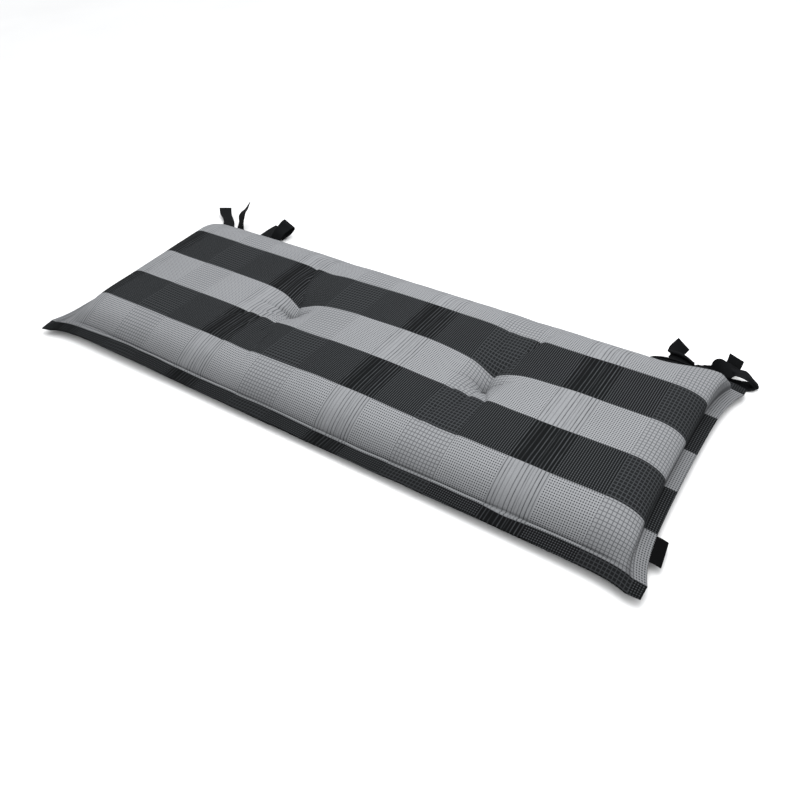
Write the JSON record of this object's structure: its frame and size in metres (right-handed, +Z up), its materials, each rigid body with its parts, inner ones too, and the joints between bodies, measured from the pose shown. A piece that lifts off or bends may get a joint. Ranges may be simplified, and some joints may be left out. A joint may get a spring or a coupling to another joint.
{
  "type": "bench cushion",
  "caption": "Long striped woven bench cushion, softly filled, with stitched tufts, black tape ties at the back and a bare tape label.",
  "frame": {"origin": "centre of the flat underside, on the surface the cushion lies on", "axes": "+X along the length towards the end with the label, +Y from the front edge to the back edge with the ties, +Z up"},
  "size_m": [1.2166, 0.5253, 0.061],
  "materials": {
    "striped_cloth": "matt woven cloth in wide light grey and near-black stripes",
    "tape_cloth": "matt black woven tape",
    "label_cloth": "smooth black woven tape"
  },
  "bodies": {
    "root": {"cushion": "striped_cloth", "label": "label_cloth", "tie_knot": "tape_cloth", "tie_left_flat": "tape_cloth", "tie_left_twisted": "tape_cloth", "tie_left_straight": "tape_cloth", "tie_left_loop": "tape_cloth", "tie_right_root": "tape_cloth", "tie_right_curl": "tape_cloth", "tie_right_tail": "tape_cloth", "tie_right_loop": "tape_cloth"}
  },
  "joints": []
}
